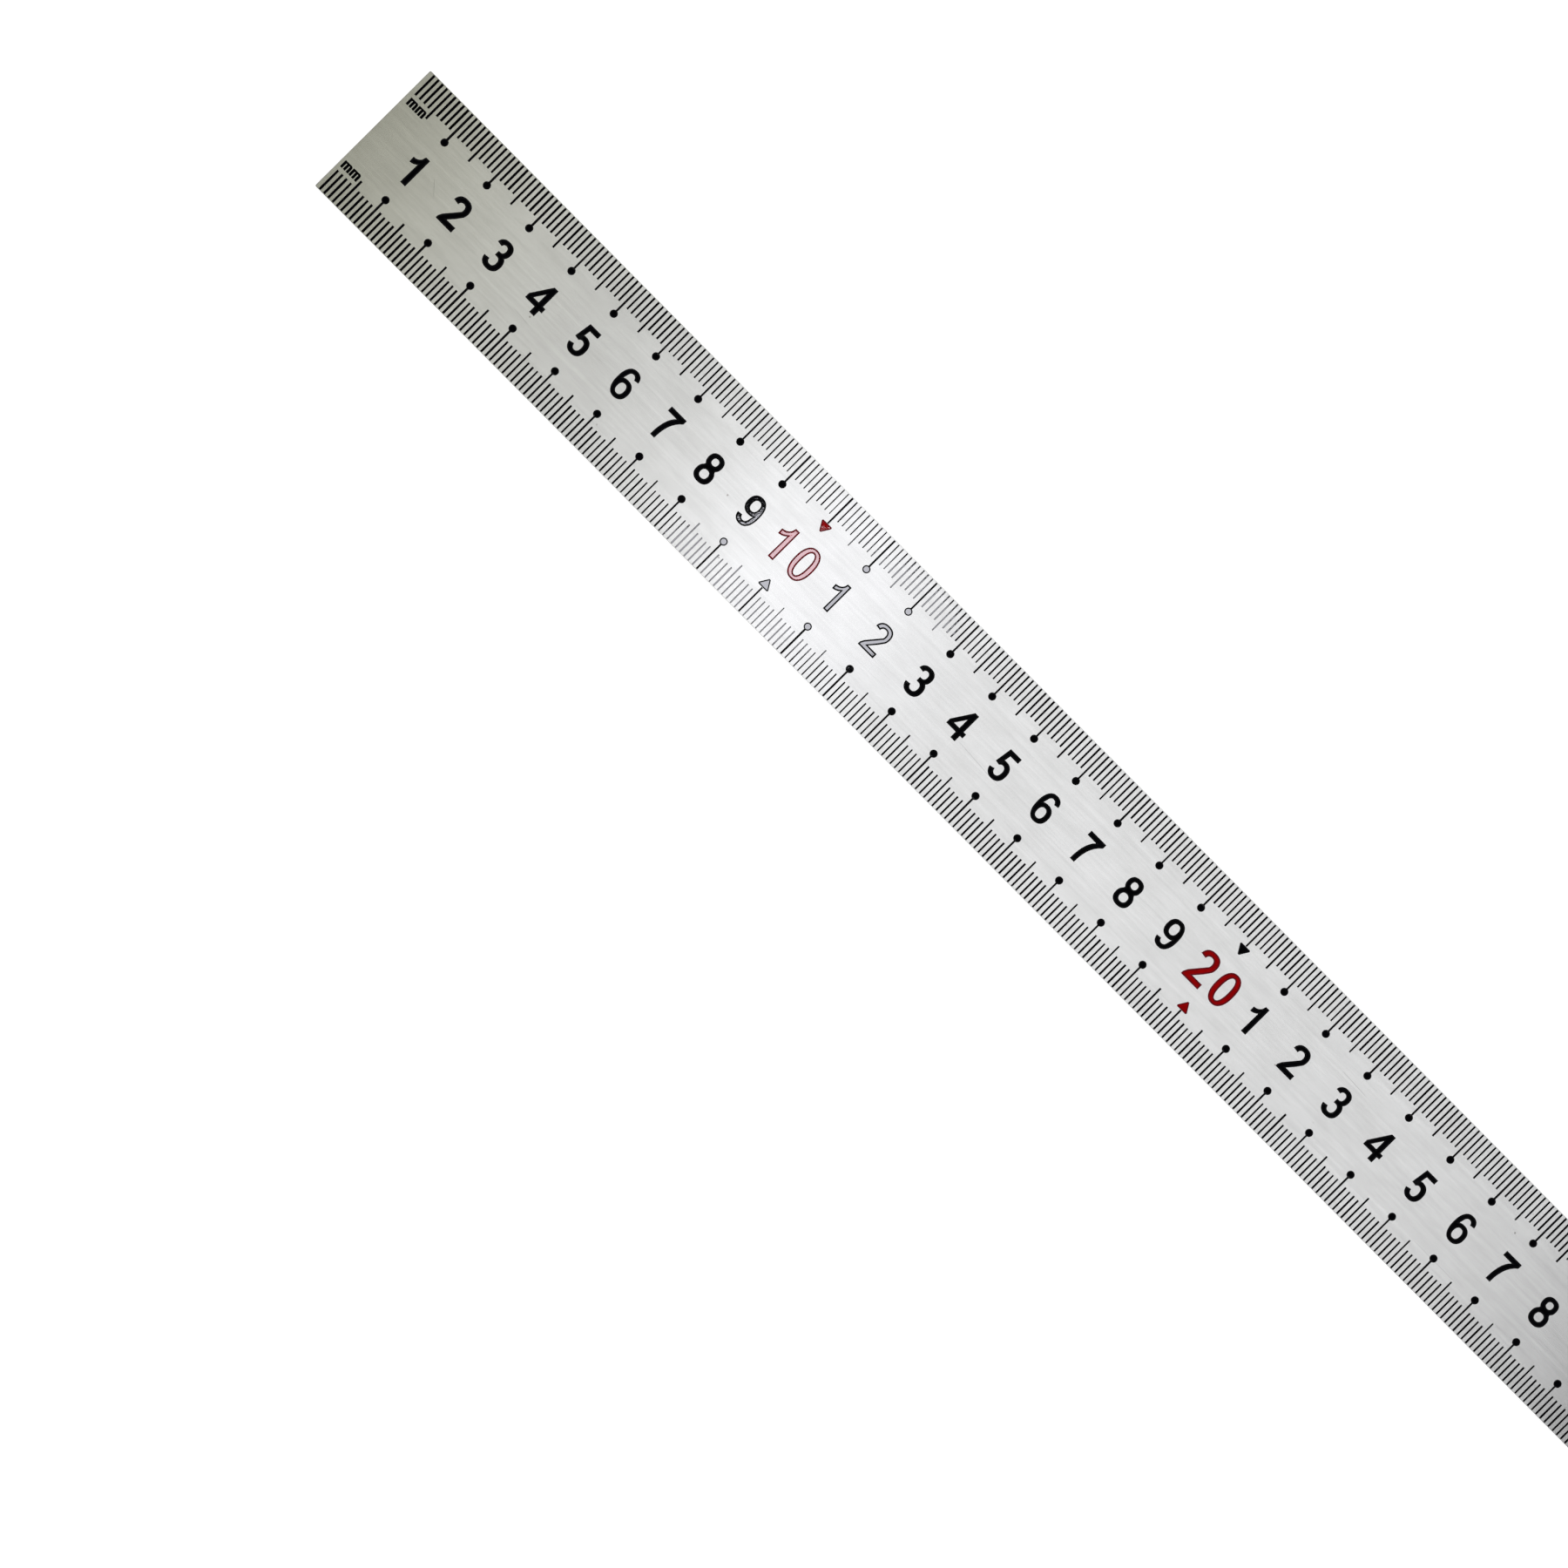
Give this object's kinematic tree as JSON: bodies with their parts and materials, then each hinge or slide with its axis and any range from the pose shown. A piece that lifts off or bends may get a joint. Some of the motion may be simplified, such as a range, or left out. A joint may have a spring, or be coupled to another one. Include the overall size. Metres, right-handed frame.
{
  "type": "steel ruler",
  "caption": "Flat stainless steel ruler with etched, enamel-filled metric and inch scales on its two faces and a hang hole.",
  "frame": {"origin": "centre of the footprint at the height of the inch face, which the ruler lies on", "axes": "+X along the blade from the square zero end towards the round tail, +Y across the blade towards the upper metric edge, +Z out of the metric face"},
  "size_m": [0.327, 0.0272, 0.0009],
  "materials": {
    "blade_steel": "satin, with a fine grain along the blade",
    "black_enamel": "glossy enamel in etched marks",
    "red_enamel": "glossy enamel in etched marks"
  },
  "bodies": {
    "root": {"blade": "blade_steel", "decade_mark_10_lower": "black_enamel", "decade_mark_10_upper": "red_enamel", "decade_mark_20_lower": "red_enamel", "decade_mark_20_upper": "black_enamel", "decade_mark_30_lower": "red_enamel", "decade_mark_30_upper": "black_enamel", "inch_numeral_01": "black_enamel", "inch_numeral_02": "black_enamel", "inch_numeral_03": "black_enamel", "inch_numeral_04": "black_enamel", "inch_numeral_05": "black_enamel", "inch_numeral_06": "black_enamel", "inch_numeral_07": "black_enamel", "inch_numeral_08": "black_enamel", "inch_numeral_09": "black_enamel", "inch_numeral_10_tens": "black_enamel", "inch_numeral_10_units": "black_enamel", "inch_numeral_11_tens": "black_enamel", "inch_numeral_11_units": "black_enamel", "inch_numeral_12_tens": "black_enamel", "inch_numeral_12_units": "black_enamel", "inch_scale_decimal": "black_enamel", "inch_scale_fraction": "black_enamel", "metric_numeral_01": "black_enamel", "metric_numeral_02": "black_enamel", "metric_numeral_03": "black_enamel", "metric_numeral_04": "black_enamel", "metric_numeral_05": "black_enamel", "metric_numeral_06": "black_enamel", "metric_numeral_07": "black_enamel", "metric_numeral_08": "black_enamel", "metric_numeral_09": "black_enamel", "metric_numeral_10_tens": "red_enamel", "metric_numeral_10_units": "red_enamel", "metric_numeral_11": "black_enamel", "metric_numeral_12": "black_enamel", "metric_numeral_13": "black_enamel", "metric_numeral_14": "black_enamel", "metric_numeral_15": "black_enamel", "metric_numeral_16": "black_enamel", "metric_numeral_17": "black_enamel", "metric_numeral_18": "black_enamel", "metric_numeral_19": "black_enamel", "metric_numeral_20_tens": "red_enamel", "metric_numeral_20_units": "red_enamel", "metric_numeral_21": "black_enamel", "metric_numeral_22": "black_enamel", "metric_numeral_23": "black_enamel", "metric_numeral_24": "black_enamel", "metric_numeral_25": "black_enamel", "metric_numeral_26": "black_enamel", "metric_numeral_27": "black_enamel", "metric_numeral_28": "black_enamel", "metric_numeral_29": "black_enamel", "metric_numeral_30_tens": "red_enamel", "metric_numeral_30_units": "red_enamel", "metric_scale_lower": "black_enamel", "metric_scale_upper": "black_enamel"}
  },
  "joints": []
}
